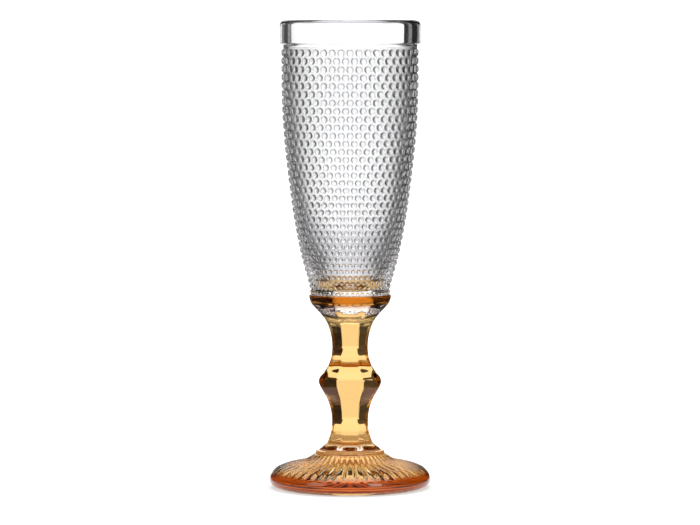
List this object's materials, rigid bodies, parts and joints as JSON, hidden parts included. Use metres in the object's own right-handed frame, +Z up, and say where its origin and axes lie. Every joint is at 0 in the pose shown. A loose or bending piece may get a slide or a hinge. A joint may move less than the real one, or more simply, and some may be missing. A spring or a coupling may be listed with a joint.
{
  "type": "champagne flute",
  "caption": "Pressed-glass champagne flute: clear tapering bowl with a beaded wall and plain rim band, on an amber octagonal knopped stem and a round ribbed foot.",
  "frame": {"origin": "centre of the face that the flute stands on", "axes": "+Z up along the flute's axis, from the foot to the rim; one flat side of the stem faces -Y"},
  "size_m": [0.069, 0.069, 0.2],
  "materials": {
    "clear_glass": "fire-polished pressed clear glass",
    "amber_glass": "fire-polished pressed amber glass"
  },
  "bodies": {
    "root": {"foot": "amber_glass", "stem": "amber_glass", "bowl": "clear_glass"}
  },
  "joints": []
}
